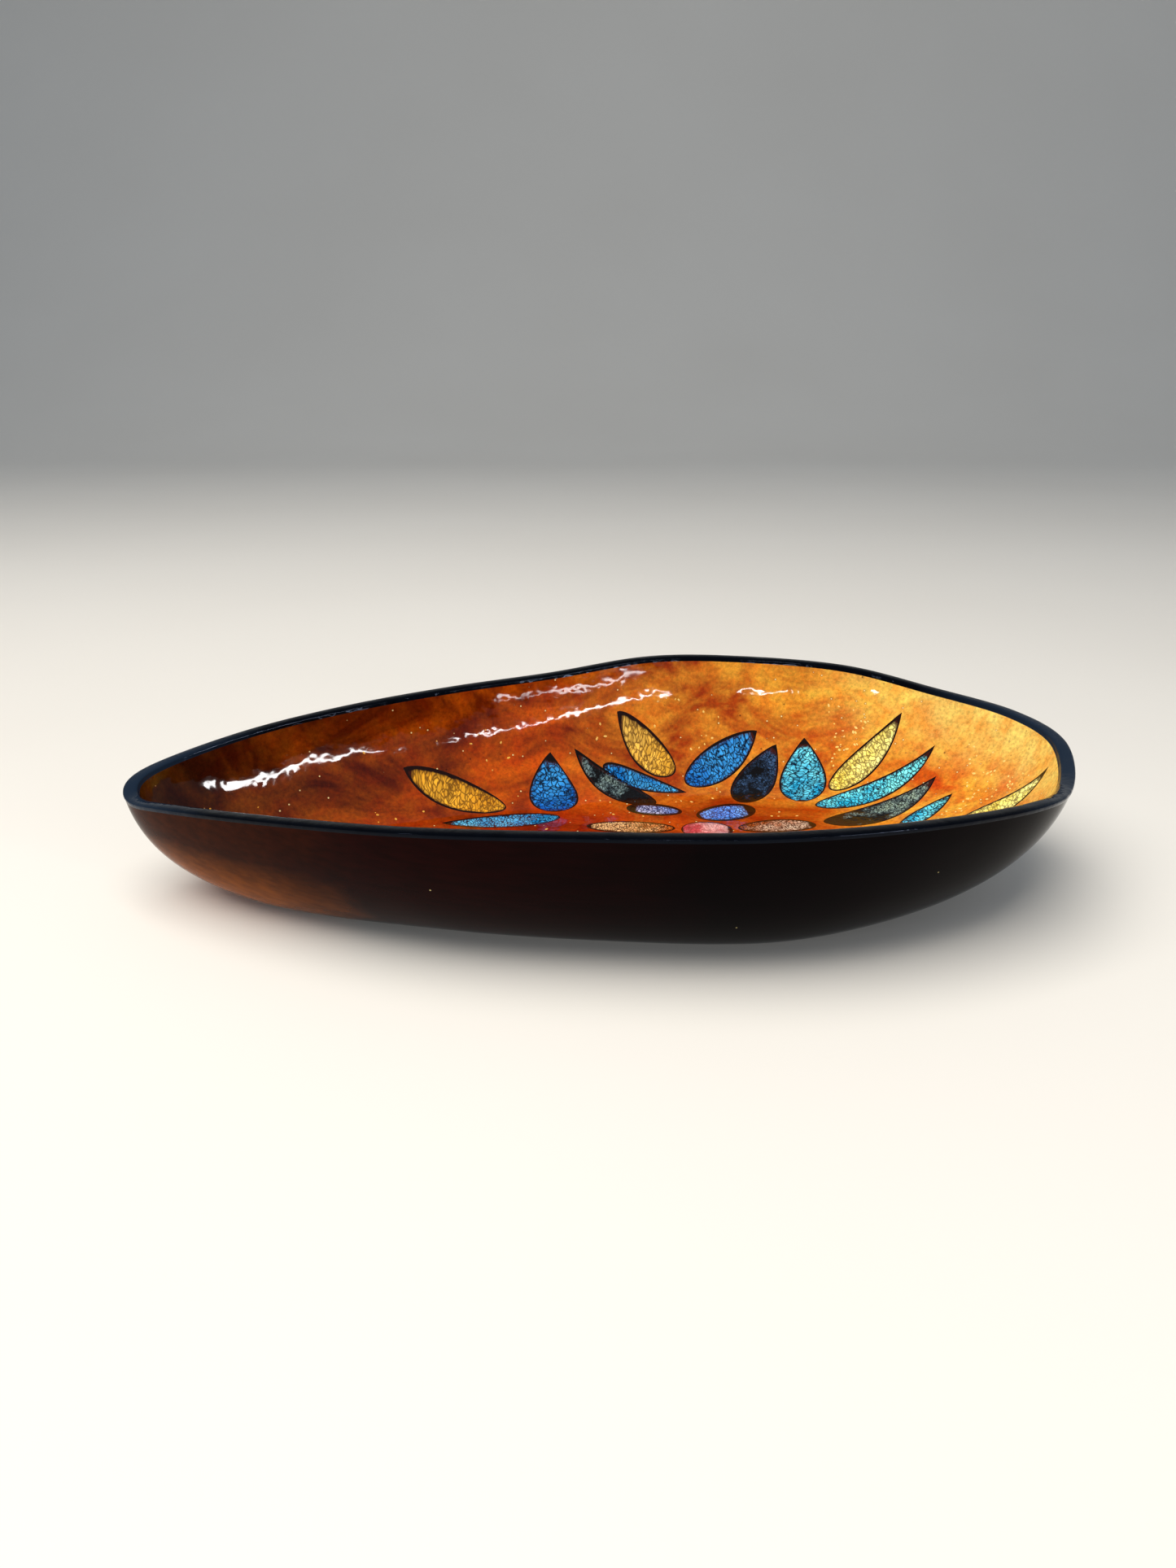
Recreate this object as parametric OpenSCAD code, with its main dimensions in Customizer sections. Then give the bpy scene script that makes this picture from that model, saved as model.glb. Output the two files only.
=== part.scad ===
// Free-form bowl of layered art glass: a dark outer casing on a flat ground base, an amber lining,
// a flower of glass leaves inlaid flush in the lining round a small rosette, and a black lip wrap
// that caps both layers. +X runs from the pointed end to the blunt end, +Y to the high side of the
// rim and +Z up. The origin is the middle of the bowl's footprint on the surface it stands on.

/* [Bowl] */
// Length from the pointed end to the blunt end
bowl_length = 303; // [260:1:340]
// Width across the bowl
bowl_width = 163; // [150:1:180]
// Height of the rim at its highest point
bowl_height = 56; // [50:1:62]
// Fullness of the wall: a lower number makes a squarer, fuller wall
wall_power = 0.82; // [0.7:0.02:1]
// Steepness of the wall where it meets the lip, in degrees
wall_angle = 80; // [76:1:84]

/* [Base] */
// Length of the ground base
base_length = 172; // [160:1:184]
// Width of the ground base
base_width = 79; // [70:1:86]
// Angle at which the wall leaves the ground base, in degrees
base_edge_angle = 6.5; // [4:0.5:14]

/* [Glass layers] */
// Thickness of both layers together at the lip
lip_width = 4.5; // [4:0.1:6]
// Height of the black lip wrap
lip_height = 1.8; // [1.4:0.1:3.4]
// Share of the wall that is outer casing
casing_share = 0.45; // [0.35:0.05:0.55]
// Thickness of the floor in the middle
floor_thickness = 8; // [7:0.5:10]
// Depth of the inlaid leaves in the lining
inlay_depth = 1; // [0.7:0.1:1.2]

/* [Smoothness] */
// Steps between two control points of the rim
rim_steps = 4; // [3:1:5]
// Steps up the wall
wall_steps = 11; // [8:1:14]
// Steps along a leaf
leaf_steps = 10; // [8:2:12]
// Steps across a leaf
leaf_columns = 3; // [2:1:4]

/* [Hidden] */
// Control points of the rim's outer edge, anticlockwise from the pointed end, at 303 x 163 x 56.
rim_points = [
    [-151.5, -12, 38], [-148, -23, 35], [-131, -37, 37.5], [-96, -56.5, 41.5], [-56, -72, 44.5],
    [-11.5, -79, 46], [39, -81, 46.5], [82.5, -72, 46], [123.5, -50, 43.5], [144, -20.5, 39.5],
    [151.5, 8.5, 44.5], [143.5, 34, 47], [121.5, 57, 49], [92, 74.5, 53], [53.5, 81, 55],
    [17, 77, 56], [-20.5, 64, 53], [-56, 51.5, 51], [-90, 38.5, 48], [-119.5, 20.5, 45], [-143.5, 2, 40.5]
];

// Control points of the ground base, anticlockwise from its pointed end, at 172 x 79.
base_points = [
    [-103, -8], [-93, -25], [-68, -33.5], [-36, -37.5], [0, -43], [38, -46], [62, -33.5],
    [69, -12], [66, 8], [50, 24], [18, 33], [-25, 31], [-68, 20], [-95, 7]
];

// The flower. Each row is [blunt end, pointed end, half width, bow to the left of that line].
yellow_leaves = [
    [[117, 5.5], [144.5, 2], 5, 0], [[82.5, 43], [110, 56.5], 5.5, 0.4],
    [[27, 57], [5, 65.5], 5.3, 0], [[-35.5, 34.5], [-72, 36], 4.6, 0],
    [[-18, -6], [-50, -18], 5, 1], [[47, -19], [55, -39], 6.5, 1]
];
blue_leaves = [
    [[101, 13], [121, 23], 3.6, 0], [[76, 35], [119.5, 43.5], 5, -2.3], [[72, 38.5], [76, 64], 8.6, 0],
    [[30.5, 52.5], [58.5, 68], 6.3, 0], [[-0.5, 54.5], [30.5, 48], 3.6, 0.3], [[-17.5, 34], [-20, 52.5], 9, 0],
    [[-16, 30.3], [-57.5, 24], 5.2, 1.5], [[-26, 2], [-64, -6], 4.5, 0], [[-5, -12], [-28, -29], 6.5, -1],
    [[29, -19], [26, -40], 8, 0], [[64, -15], [82, -34], 7, 0], [[91, -2], [125, -13], 4.8, 1]
];
dark_leaves = [
    [[77, 23], [118, 33.5], 5.8, -3.5], [[49, 41.5], [65.5, 64], 7.3, 0], [[19, 41.5], [-11, 55.5], 4.7, 0.6],
    [[-31, 12], [-71, 9], 5, 0], [[10, -17], [-2, -37], 7.5, 0], [[79, -10], [104, -26], 6, 0]
];
heart = [[26.5, 19], [44.5, 18], 7.5, 0];
petals = [[[24.5, 20], [-6.5, 22], 5.4, 0], [[46.5, 20], [74, 21.5], 5.4, 1]];
chips = [
    [[33, 31], [54.5, 36], 6.6, 0], [[28, 35], [8, 38], 4.6, 0],
    [[28, 10], [10, 2], 5.5, 0], [[42, 9], [60, 1], 5.5, 0]
];

// A leaf's outline is round at the blunt end and drawn out at the tip; a chip's is round all over.
leaf_powers = [0.55, 0.85];
chip_powers = [0.5, 0.5];
end_half_width = 0.15;  // a leaf's ends are this narrow, not sharp
pocket_rise = 1;        // how far a pocket's cutter stands out of the lining
slope_step = 0.5;       // distance over which the lining's slope is measured

stretch = [bowl_length / 303, bowl_width / 163, bowl_height / 56];
half = [bowl_length / 2, bowl_width / 2];
base_centre = [-3.5 * stretch.x, -2 * stretch.y];
base_stretch = [base_length / 172, base_width / 79];
floor_rings = [0.35, 0.7];  // rings of the flat floor, as shares of the way to its edge

function scaled(p) = [for (k = [0:len(p) - 1]) p[k] * stretch[k]];

// A smooth closed curve through the rim's control points.
function spline(a, b, c, d, t) =
    (2 * b + (c - a) * t + (2 * a - 5 * b + 4 * c - d) * t * t + (3 * b - a - 3 * c + d) * t * t * t) / 2;
function closed_curve(points) =
    let (size = len(points))
    [
        for (i = [0:size - 1], k = [0:rim_steps - 1])
            spline(points[(i + size - 1) % size], points[i], points[(i + 1) % size], points[(i + 2) % size],
                k / rim_steps)
    ];
raw_rim = closed_curve([for (p = rim_points) scaled(p)]);
function middle(axis) = (max([for (p = raw_rim) p[axis]]) + min([for (p = raw_rim) p[axis]])) / 2;
rim = [for (p = raw_rim) p - [middle(0), middle(1), 0]];
count = len(rim);

// The rim moved inwards by a distance, level by level.
function inward(i) =
    let (along = rim[(i + 1) % count] - rim[(i + count - 1) % count])
    [-along.y, along.x, 0] / norm([along.x, along.y]);
function rim_inset(inset) = [for (i = [0:count - 1]) rim[i] + inset * inward(i)];

// A point of the plan as an angle round the base and a reach, on axes stretched like the bowl.
function from_centre(p) = [(p.x - base_centre.x) / half.x, (p.y - base_centre.y) / half.y];
function turn(p) = let (q = from_centre(p), a = atan2(q.y, q.x)) a < first_turn ? a + 360 : a;
function reach(p) = norm(from_centre(p));
function plan_point(a, r) = [base_centre.x + half.x * r * cos(a), base_centre.y + half.y * r * sin(a)];
first_turn = let (q = from_centre(rim[0])) atan2(q.y, q.x);

// The base's reach at any angle, and that of a surface's foot, which is moved in by an inset.
base_curve = closed_curve([
    for (p = base_points) [for (k = [0, 1]) base_centre[k] + (p[k] * stretch[k] - base_centre[k]) * base_stretch[k]]
]);
base_turns = [for (p = base_curve) let (q = from_centre(p), a = atan2(q.y, q.x)) a > 178 ? a - 360 : a];
base_table = [
    for (i = [0:len(base_curve)])
        let (k = i % len(base_curve))
        [base_turns[k] + (i == k ? 0 : 360), reach(base_curve[k])]
];
function base_reach(a) =
    lookup(a < base_turns[0] ? a + 360 : a > base_turns[0] + 360 ? a - 360 : a, base_table);
function foot_reach(a, inset) = base_reach(a) - inset / norm([cos(a) * half.x, sin(a) * half.y]);

// The wall is a quarter of a superellipse, from its foot to the angle where it meets the lip.
function run(up) = pow(sin(up), wall_power);
function rise(up) = pow(cos(up), wall_power);
function wall_share(up, edge) = (run(up) - run(edge)) / (run(wall_angle) - run(edge));
function height_share(up, edge) = (rise(edge) - rise(up)) / (rise(edge) - rise(wall_angle));
function up_at_share(s, edge) = asin(pow(run(edge) + s * (run(wall_angle) - run(edge)), 1 / wall_power));
function up_at_height(h, edge) = acos(pow(rise(edge) - h * (rise(edge) - rise(wall_angle)), 1 / wall_power));

// A surface is [rim, foot inset, floor height, angle at the foot].
outer_surface = [rim, 0, 0, base_edge_angle];
middle_surface = [rim_inset(lip_width * casing_share), 3, floor_thickness * casing_share, 0];
inner_surface = [rim_inset(lip_width), 6, floor_thickness, 0];

// A point of a surface above rim sample i, at an angle up the wall.
function wall_point(surface, i, up) =
    let (top = surface[0][i], a = turn(top), foot = foot_reach(a, surface[1]))
    let (r = foot + (reach(top) - foot) * wall_share(up, surface[3]))
    concat(plan_point(a, r), surface[2] + (top.z - surface[2]) * height_share(up, surface[3]));
function lip_up(surface, i) =
    let (top = surface[0][i].z)
    up_at_height((top - lip_height - surface[2]) / (top - surface[2]), surface[3]);
function lip_seat(surface, i) = wall_point(surface, i, lip_up(surface, i));

function floor_ring(surface, share) = [
    for (i = [0:count - 1])
        let (a = turn(surface[0][i]))
        concat(plan_point(a, foot_reach(a, surface[1]) * share), surface[2])
];
function wall_ring(surface, share) = [
    for (i = [0:count - 1])
        wall_point(surface, i, surface[3] + (lip_up(surface, i) - surface[3]) * share)
];
function surface_rings(surface) = concat(
    [for (share = floor_rings) floor_ring(surface, share)],
    [for (k = [0:wall_steps]) wall_ring(surface, k / wall_steps)]
);

// The height of the lining's inner face over any point of the plan, and its upward normal.
reach_table = [for (p = inner_surface[0]) [turn(p), reach(p)]];
height_table = [for (p = inner_surface[0]) [turn(p), p.z]];
function round_table(table) = concat(table, [[table[0][0] + 360, table[0][1]]]);
inner_reach = round_table(reach_table);
inner_height = round_table(height_table);
function lining_height(p) =
    let (a = turn(p), foot = foot_reach(a, inner_surface[1]))
    let (s = (reach(p) - foot) / (lookup(a, inner_reach) - foot))
    s <= 0 ? floor_thickness : floor_thickness
        + (lookup(a, inner_height) - floor_thickness) * height_share(up_at_share(min(s, 1), 0), 0);
function lining_normal(p) =
    let (dx = lining_height(p + [slope_step, 0]) - lining_height(p - [slope_step, 0]))
    let (dy = lining_height(p + [0, slope_step]) - lining_height(p - [0, slope_step]))
    let (n = [-dx, -dy, 2 * slope_step])
    n / norm(n);

// Two triangles for each cell of a grid of points that is `width` points wide.
function cell(a, b, c, d) = [[a, b, c], [a, c, d]];
function flat_list(groups) = [for (group = groups) each group];

// A closed skin from a pole below, through rings that all have `count` points, to a pole above.
module bowl_skin(rings, start, end) {
    last = len(rings) - 1;
    points = concat([start], flat_list(rings), [end]);
    function at(ring, i) = 1 + ring * count + i % count;
    faces = concat(
        [for (i = [0:count - 1]) [0, at(0, i), at(0, i + 1)]],
        flat_list([
            for (ring = [0:last - 1], i = [0:count - 1])
                cell(at(ring, i), at(ring + 1, i), at(ring + 1, i + 1), at(ring, i + 1))
        ]),
        [for (i = [0:count - 1]) [len(points) - 1, at(last, i + 1), at(last, i)]]
    );
    polyhedron(points, faces);
}

// One glass layer between two surfaces, open at the top under the lip.
module layer(outside, inside) {
    inside_rings = surface_rings(inside);
    bowl_skin(
        concat(surface_rings(outside), [for (k = [len(inside_rings) - 1:-1:0]) inside_rings[k]]),
        concat(base_centre, outside[2]), concat(base_centre, inside[2])
    );
}

// A leaf's half width and middle line at a share t of the way from its blunt end.
function bulge(t, powers) = pow(t, powers[0]) * pow(1 - t, powers[1]);
function half_width(leaf, powers, t) =
    let (widest = powers[0] / (powers[0] + powers[1]))
    max(end_half_width, leaf[2] * bulge(t, powers) / bulge(widest, powers));
function leaf_plan(leaf, powers, t, side) =
    let (start = scaled(leaf[0]), end = scaled(leaf[1]), along = (end - start) / norm(end - start))
    start + (end - start) * t
        + [-along.y, along.x] * (leaf[3] * 4 * t * (1 - t) + side * half_width(leaf, powers, t));

// A slab that follows the lining's inner face, from inlay_depth under it to `above` over it.
module inlay(leaf, powers, above = 0) {
    columns = leaf_columns + 1;
    layer_size = (leaf_steps + 1) * columns;
    plan = [
        for (i = [0:leaf_steps], j = [0:leaf_columns])
            leaf_plan(leaf, powers, (1 - cos(180 * i / leaf_steps)) / 2, 2 * j / leaf_columns - 1)
    ];
    face = [for (p = plan) concat(p, lining_height(p))];
    up = [for (p = plan) lining_normal(p)];
    points = concat(
        [for (k = [0:layer_size - 1]) face[k] - inlay_depth * up[k]],
        [for (k = [0:layer_size - 1]) face[k] + above * up[k]]
    );
    edge = concat(
        [for (i = [0:leaf_steps]) i * columns],
        [for (j = [1:leaf_columns]) leaf_steps * columns + j],
        [for (i = [leaf_steps - 1:-1:0]) i * columns + leaf_columns],
        [for (j = [leaf_columns - 1:-1:1]) j]
    );
    faces = concat(
        flat_list([
            for (i = [0:leaf_steps - 1], j = [0:leaf_columns - 1])
                let (k = i * columns + j) cell(k, k + columns, k + columns + 1, k + 1)
        ]),
        flat_list([
            for (i = [0:leaf_steps - 1], j = [0:leaf_columns - 1])
                let (k = layer_size + i * columns + j) cell(k, k + 1, k + columns + 1, k + columns)
        ]),
        flat_list([
            for (k = [0:len(edge) - 1])
                let (a = edge[k], b = edge[(k + 1) % len(edge)])
                cell(b, a, a + layer_size, b + layer_size)
        ])
    );
    polyhedron(points, faces);
}

module outer_casing() {
    color("#2a0a08") layer(outer_surface, middle_surface);
}

module amber_lining() {
    color("#c8701c") difference() {
        layer(middle_surface, inner_surface);
        for (leaf = concat(yellow_leaves, blue_leaves, dark_leaves)) inlay(leaf, leaf_powers, pocket_rise);
        for (chip = concat([heart], petals, chips)) inlay(chip, chip_powers, pocket_rise);
    }
}

// The lip's section stands on both layers and is rounded over the top.
lip_round = 1;        // height of the rounded part of the lip
lip_flatness = 0.75;  // a lower number makes a flatter top
lip_arc = [0:30:180];
function signed_pow(x, p) = sign(x) * pow(abs(x), p);
function lip_section(i) =
    let (out = outer_surface[0][i], in = inner_surface[0][i], mid = (out + in) / 2, side = (out - in) / 2)
    concat(
        [for (a = lip_arc)
            mid + side * signed_pow(cos(a), lip_flatness)
                + [0, 0, lip_round * (pow(sin(a), lip_flatness) - 1)]],
        [lip_seat(inner_surface, i), lip_seat(middle_surface, i), lip_seat(outer_surface, i)]
    );

module lip_wrap() {
    sections = [for (i = [0:count - 1]) lip_section(i)];
    size = len(sections[0]);
    function at(i, j) = (i % count) * size + j % size;
    color("#101014") polyhedron(
        flat_list(sections),
        flat_list([
            for (i = [0:count - 1], j = [0:size - 1])
                cell(at(i, j), at(i, j + 1), at(i + 1, j + 1), at(i + 1, j))
        ])
    );
}

module yellow_leaf(i) { color("#e3b53c") inlay(yellow_leaves[i], leaf_powers); }
module blue_leaf(i) { color("#1e7fc0") inlay(blue_leaves[i], leaf_powers); }
module dark_leaf(i) { color("#161a2c") inlay(dark_leaves[i], leaf_powers); }
module rosette_heart() { color("#c4545e") inlay(heart, chip_powers); }
module rosette_petal(i) { color("#c89a6a") inlay(petals[i], chip_powers); }
module rosette_chip(i) { color("#6fa0e0") inlay(chips[i], chip_powers); }

function numbered(name, list) = [for (i = [1:len(list)]) str(name, "_", i)];

outer_casing();
amber_lining();
lip_wrap();
rosette_heart();
for (i = [0:len(yellow_leaves) - 1])
    yellow_leaf(i);
for (i = [0:len(blue_leaves) - 1])
    blue_leaf(i);
for (i = [0:len(dark_leaves) - 1])
    dark_leaf(i);
for (i = [0:len(petals) - 1])
    rosette_petal(i);
for (i = [0:len(chips) - 1])
    rosette_chip(i);
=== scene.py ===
"""Looks of a free-form art glass bowl: glass layers, inlaid crackled leaves, seeds and a soft studio."""

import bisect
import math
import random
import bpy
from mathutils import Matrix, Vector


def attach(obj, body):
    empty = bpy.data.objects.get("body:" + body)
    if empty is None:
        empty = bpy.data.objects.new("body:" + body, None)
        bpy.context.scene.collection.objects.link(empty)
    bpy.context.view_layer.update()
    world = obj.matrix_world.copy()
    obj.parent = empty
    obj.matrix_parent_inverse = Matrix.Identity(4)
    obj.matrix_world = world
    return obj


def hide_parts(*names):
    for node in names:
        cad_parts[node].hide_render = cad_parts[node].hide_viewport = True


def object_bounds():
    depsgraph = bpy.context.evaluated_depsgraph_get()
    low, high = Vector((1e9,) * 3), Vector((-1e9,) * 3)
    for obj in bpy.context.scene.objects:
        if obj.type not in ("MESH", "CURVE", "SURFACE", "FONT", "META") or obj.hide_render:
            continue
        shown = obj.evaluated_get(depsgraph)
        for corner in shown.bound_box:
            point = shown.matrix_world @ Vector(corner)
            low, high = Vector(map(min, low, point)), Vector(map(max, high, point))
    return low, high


bl_info = {
    "name": "Inlaid Art Glass Bowl",
    "version": (1, 0, 0),
    "blender": (4, 5, 0),
    "location": "3D View > Sidebar > Glass Bowl",
    "description": "Builds the glass layers, inlaid leaves, seeds and studio of a free-form glass bowl",
    "category": "Add Mesh",
}

import bmesh
import bpy
from mathutils import Matrix, Vector

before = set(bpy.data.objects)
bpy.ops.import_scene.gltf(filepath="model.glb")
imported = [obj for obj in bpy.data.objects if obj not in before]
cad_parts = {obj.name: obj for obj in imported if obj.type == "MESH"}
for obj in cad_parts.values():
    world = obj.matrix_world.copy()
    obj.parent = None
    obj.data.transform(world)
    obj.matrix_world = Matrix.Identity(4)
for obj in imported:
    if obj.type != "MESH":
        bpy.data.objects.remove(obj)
CAD_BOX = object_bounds()

MM = 0.001

# Control points of the rim's outer edge in millimetres, anticlockwise from the pointed end.
RIM_POINTS = (
    (-151.5, -12, 38), (-148, -23, 35), (-131, -37, 37.5), (-96, -56.5, 41.5), (-56, -72, 44.5),
    (-11.5, -79, 46), (39, -81, 46.5), (82.5, -72, 46), (123.5, -50, 43.5), (144, -20.5, 39.5),
    (151.5, 8.5, 44.5), (143.5, 34, 47), (121.5, 57, 49), (92, 74.5, 53), (53.5, 81, 55),
    (17, 77, 56), (-20.5, 64, 53), (-56, 51.5, 51), (-90, 38.5, 48), (-119.5, 20.5, 45), (-143.5, 2, 40.5),
)

# Control points of the ground base in millimetres, anticlockwise from its pointed end.
BASE_POINTS = (
    (-103, -8, 0), (-93, -25, 0), (-68, -33.5, 0), (-36, -37.5, 0), (0, -43, 0), (38, -46, 0), (62, -33.5, 0),
    (69, -12, 0), (66, 8, 0), (50, 24, 0), (18, 33, 0), (-25, 31, 0), (-68, 20, 0), (-95, 7, 0),
)

# The flower in millimetres: node, blunt end, pointed end, half width, bow to the left of that line.
YELLOW_LEAVES = (
    ((117, 5.5), (144.5, 2), 5, 0), ((82.5, 43), (110, 56.5), 5.5, 0.4),
    ((27, 57), (5, 65.5), 5.3, 0), ((-35.5, 34.5), (-72, 36), 4.6, 0),
    ((-18, -6), (-50, -18), 5, 1), ((47, -19), (55, -39), 6.5, 1),
)
BLUE_LEAVES = (
    ((101, 13), (121, 23), 3.6, 0), ((76, 35), (119.5, 43.5), 5, -2.3), ((72, 38.5), (76, 64), 8.6, 0),
    ((30.5, 52.5), (58.5, 68), 6.3, 0), (
        (-0.5, 54.5), (30.5, 48), 3.6, 0.3
    ), ((-17.5, 34), (-20, 52.5), 9, 0),
    ((-16, 30.3), (-57.5, 24), 5.2, 1.5), ((-26, 2), (-64, -6), 4.5, 0), ((-5, -12), (-28, -29), 6.5, -1),
    ((29, -19), (26, -40), 8, 0), ((64, -15), (82, -34), 7, 0), ((91, -2), (125, -13), 4.8, 1),
)
DARK_LEAVES = (
    ((77, 23), (118, 33.5), 5.8, -3.5), (
        (49, 41.5), (65.5, 64), 7.3, 0
    ), ((19, 41.5), (-11, 55.5), 4.7, 0.6),
    ((-31, 12), (-71, 9), 5, 0), ((10, -17), (-2, -37), 7.5, 0), ((79, -10), (104, -26), 6, 0),
)
HEART = ((26.5, 19), (44.5, 18), 7.5, 0)
PETALS = (((24.5, 20), (-6.5, 22), 5.4, 0), ((46.5, 20), (74, 21.5), 5.4, 1))
CHIPS = (
    ((33, 31), (54.5, 36), 6.6, 0), ((28, 35), (8, 38), 4.6, 0),
    ((28, 10), (10, 2), 5.5, 0), ((42, 9), (60, 1), 5.5, 0),
)
LEAF_POWERS = (0.55, 0.85)   # round at the blunt end, drawn out at the tip
CHIP_POWERS = (0.5, 0.5)     # round all over


# ---------------------------------------------------------------- shape of the bowl

WALL_POWER = 0.82
WALL_ANGLE = math.radians(80)
BASE_EDGE_ANGLE = math.radians(6.5)
BASE_CENTRE = (-3.5, -2.0)
HALF = (151.5, 81.5)
CURVE_STEPS = 14
WALL_STEPS = 40
FLOOR_SHARES = (0.12, 0.3, 0.5, 0.7, 0.86)
LINING_FOOT_INSET = 6   # how far the inner and the middle face leave the floor inside the base outline
MIDDLE_FOOT_INSET = 3
SHARP_ANGLE = math.radians(40)


def spline(a, b, c, d, t):
    """A point of the smooth curve through b and c."""
    return (
        2 * b + (c - a) * t + (2 * a - 5 * b + 4 * c - d) * t * t + (3 * b - a - 3 * c + d) * t ** 3
    ) / 2


def closed_curve(control_points):
    """A smooth closed curve through control points."""
    points = [Vector(p) for p in control_points]
    size = len(points)
    return [
        spline(*(points[(i + j) % size] for j in (-1, 0, 1, 2)), k / CURVE_STEPS)
        for i in range(size) for k in range(CURVE_STEPS)
    ]


def rim_curve():
    """The rim's outer edge as a closed list of points in millimetres, fitted into the model's box."""
    curve = closed_curve(RIM_POINTS)
    low, high = (corner / MM for corner in (Vector(CAD_BOX[0]), Vector(CAD_BOX[1])))
    fitted = []
    spans = [(min(p[a] for p in curve), max(p[a] for p in curve)) for a in (0, 1)]
    top = max(p.z for p in curve)
    for p in curve:
        flat = [
            low[a] + (p[a] - spans[a][0]) / (spans[a][1] - spans[a][0]) * (high[a] - low[a]) for a in (0, 1)
        ]
        fitted.append(Vector((flat[0], flat[1], p.z * high.z / top)))
    return fitted


def turn(p):
    """The angle of a plan point round the base, on axes stretched like the bowl."""
    return math.atan2((p[1] - BASE_CENTRE[1]) / HALF[1], (p[0] - BASE_CENTRE[0]) / HALF[0])


def reach(p):
    """How far out a plan point is, on axes stretched like the bowl."""
    return math.hypot((p[0] - BASE_CENTRE[0]) / HALF[0], (p[1] - BASE_CENTRE[1]) / HALF[1])


class RoundTable:
    """Values kept by their angle round the base and read in between."""

    def __init__(self, points, values):
        self.start = turn(points[0])
        turns = [(turn(p) - self.start) % math.tau for p in points]
        self.turns = turns + [math.tau]
        self.values = list(values) + [values[0]]

    def read(self, a):
        offset = (a - self.start) % math.tau
        i = min(max(bisect.bisect_right(self.turns, offset), 1), len(self.turns) - 1)
        share = (offset - self.turns[i - 1]) / (self.turns[i] - self.turns[i - 1])
        return self.values[i - 1] + (self.values[i] - self.values[i - 1]) * share


RIM = rim_curve()
COUNT = len(RIM)
BASE = closed_curve(BASE_POINTS)
BASE_REACH = RoundTable(BASE, [reach(p) for p in BASE])


def run(up):
    return math.sin(up) ** WALL_POWER


def rise(up):
    return max(math.cos(up), 0) ** WALL_POWER


class Face:
    """One face of a glass layer in millimetres: its rim, its foot's inset, its floor and its foot angle."""

    def __init__(self, inset, foot_inset, floor, edge=0.0):
        self.floor = floor
        self.edge = edge
        self.foot_inset = foot_inset
        self.rim = []
        for i, point in enumerate(RIM):
            along = RIM[(i + 1) % COUNT] - RIM[i - 1]
            inward = Vector((-along.y, along.x, 0)).normalized()
            self.rim.append(point + inset * inward)
        self.turns = [turn(p) for p in self.rim]
        self.reach_table = RoundTable(self.rim, [reach(p) for p in self.rim])
        self.height_table = RoundTable(self.rim, [p.z for p in self.rim])

    def foot(self, a):
        """The reach of the face's foot at an angle."""
        return BASE_REACH.read(a) - self.foot_inset / math.hypot(
            math.cos(a) * HALF[0], math.sin(a) * HALF[1]
        )

    def plan(self, a, out, z):
        x = BASE_CENTRE[0] + HALF[0] * out * math.cos(a)
        y = BASE_CENTRE[1] + HALF[1] * out * math.sin(a)
        return Vector((x, y, z))

    def height_share(self, up):
        return (rise(self.edge) - rise(up)) / (rise(self.edge) - rise(WALL_ANGLE))

    def wall(self, i, up):
        """The point above rim sample i at an angle up the wall."""
        top, a = self.rim[i], self.turns[i]
        share = (run(up) - run(self.edge)) / (run(WALL_ANGLE) - run(self.edge))
        foot = self.foot(a)
        out = foot + (reach(top) - foot) * share
        return self.plan(a, out, self.floor + (top.z - self.floor) * self.height_share(up))

    def seat(self, i, lip_height):
        """The angle up the wall at which the lip sits on this face."""
        top = self.rim[i].z
        share = (top - lip_height - self.floor) / (top - self.floor)
        return math.acos(
            (rise(self.edge) - share * (rise(self.edge) - rise(WALL_ANGLE))) ** (1 / WALL_POWER)
        )

    def rings(self, lip_height):
        """The face's rings of points, from the middle of the floor out and up to the lip."""
        rings = [[self.plan(a, self.foot(a) * s, self.floor) for a in self.turns] for s in FLOOR_SHARES]
        tops = [self.seat(i, lip_height) for i in range(COUNT)]
        for k in range(WALL_STEPS + 1):
            share = k / WALL_STEPS
            rings.append([self.wall(i, self.edge + (tops[i] - self.edge) * share) for i in range(COUNT)])
        return rings

    def climb(self, x, y):
        """How far up the wall a plan point is: 0 at the foot, 1 at the rim."""
        a = turn((x, y))
        foot = self.foot(a)
        return min(max((reach((x, y)) - foot) / (self.reach_table.read(a) - foot), 0), 1)

    def height(self, x, y):
        """The height of this face over a point of the plan."""
        climb = self.climb(x, y)
        if climb == 0:
            return self.floor
        up = math.asin(
            min(1, (run(self.edge) + climb * (run(WALL_ANGLE) - run(self.edge))) ** (1 / WALL_POWER))
        )
        return self.floor + (self.height_table.read(turn((x, y))) - self.floor) * self.height_share(up)

    def point(self, x, y, lift=0.0):
        """The point of this face over a point of the plan, lifted off it, and its normal."""
        step = 0.4
        slope_x = (self.height(x + step, y) - self.height(x - step, y)) / (2 * step)
        slope_y = (self.height(x, y + step) - self.height(x, y - step)) / (2 * step)
        normal = Vector((-slope_x, -slope_y, 1)).normalized()
        return Vector((x, y, self.height(x, y))) + lift * normal, normal


# ---------------------------------------------------------------- mesh helpers

def extrude_ring(bm, ring, places):
    """Extrudes a closed ring of vertices and puts each new vertex at its place."""
    edges = [bm.edges.get((ring[i - 1], ring[i])) for i in range(len(ring))]
    made = bmesh.ops.extrude_edge_only(bm, edges=edges)["geom"]
    fresh = {item for item in made if isinstance(item, bmesh.types.BMVert)}
    new_ring = []
    for vert, place in zip(ring, places):
        twin = next(e.other_vert(vert) for e in vert.link_edges if e.other_vert(vert) in fresh)
        twin.co = place * MM
        new_ring.append(twin)
    return new_ring


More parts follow.
